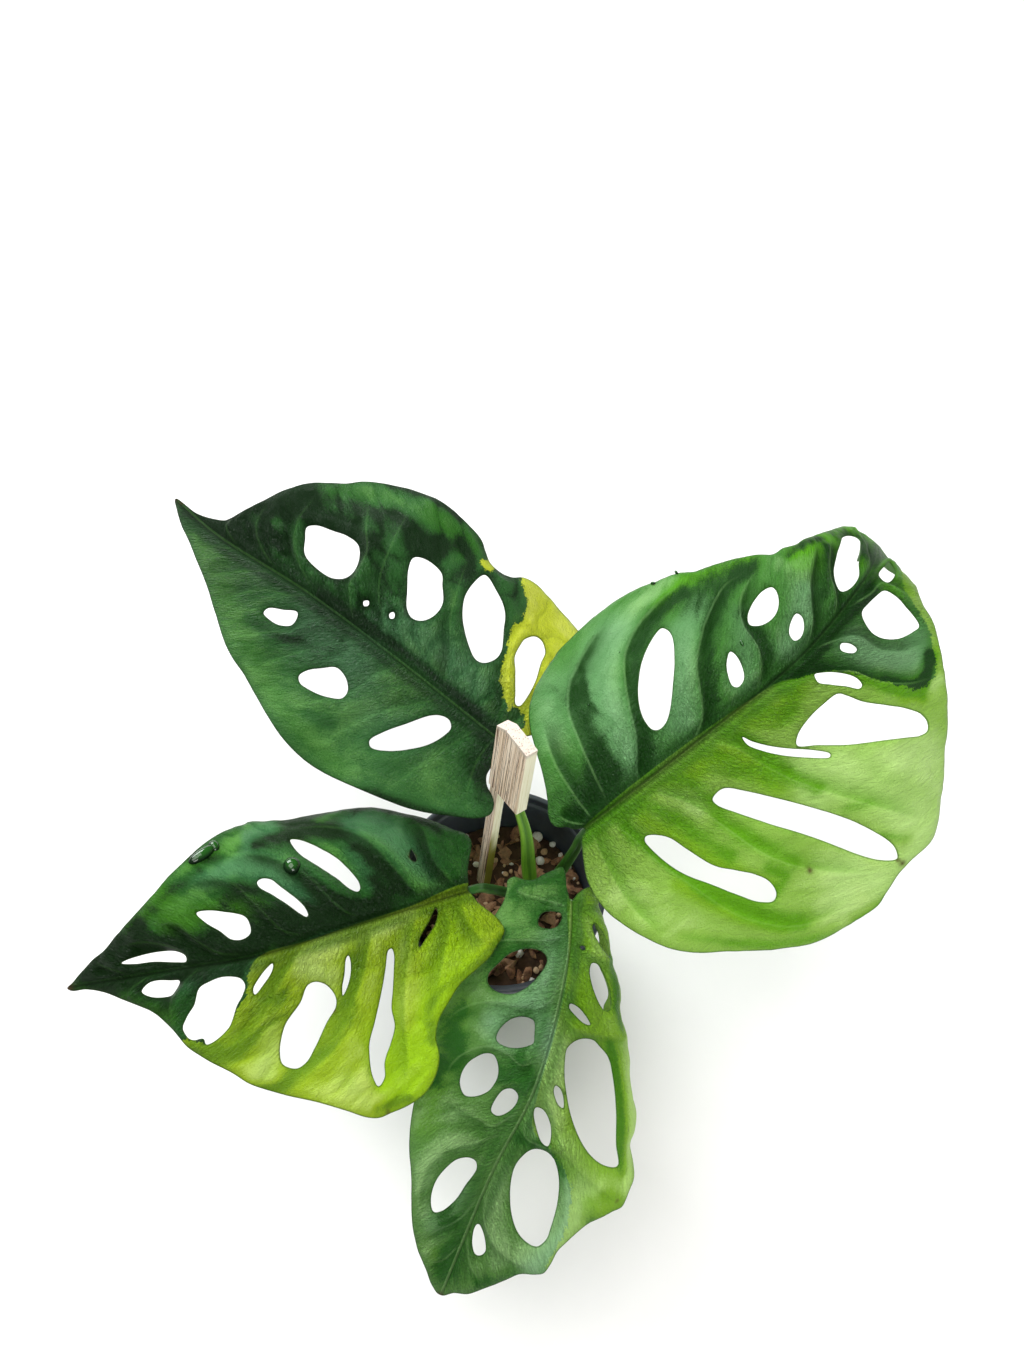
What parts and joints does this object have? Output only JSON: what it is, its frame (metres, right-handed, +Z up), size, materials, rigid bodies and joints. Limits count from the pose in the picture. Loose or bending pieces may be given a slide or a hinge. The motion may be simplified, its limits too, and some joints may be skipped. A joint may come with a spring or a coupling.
{
  "type": "potted monstera plant",
  "caption": "Small potted vine with broad, hole-pierced, part-yellow leaves on short stalks, bark soil and a bamboo pick in a tapered round pot.",
  "frame": {"origin": "centre of the underside of the pot", "axes": "+Z up along the pot's axis, -Y towards the viewer of the picture, +X to the viewer's right"},
  "size_m": [0.2421, 0.2081, 0.1283],
  "materials": {
    "pot_plastic": "dark blue-grey moulded polypropylene, satin",
    "soil_mix": "loose mix of bark, coir and pumice, matte",
    "bamboo": "raw split bamboo, fine grain along its length",
    "stem_tissue": "smooth green plant tissue",
    "leaf_dark": "dark green leaf, satin, one lobe yellow",
    "leaf_half_lime": "leaf with one green and one lime half, satin",
    "leaf_half_yellow": "leaf with one dark green and one yellow-green half, satin",
    "leaf_mid_green": "mid green leaf with pale streaks, satin"
  },
  "bodies": {
    "root": {"pot": "pot_plastic", "soil": "soil_mix", "bamboo_pick": "bamboo", "stem": "stem_tissue", "leaf_upper_left": "leaf_dark", "leaf_right": "leaf_half_lime", "leaf_lower_left": "leaf_half_yellow", "leaf_front": "leaf_mid_green"}
  },
  "joints": []
}
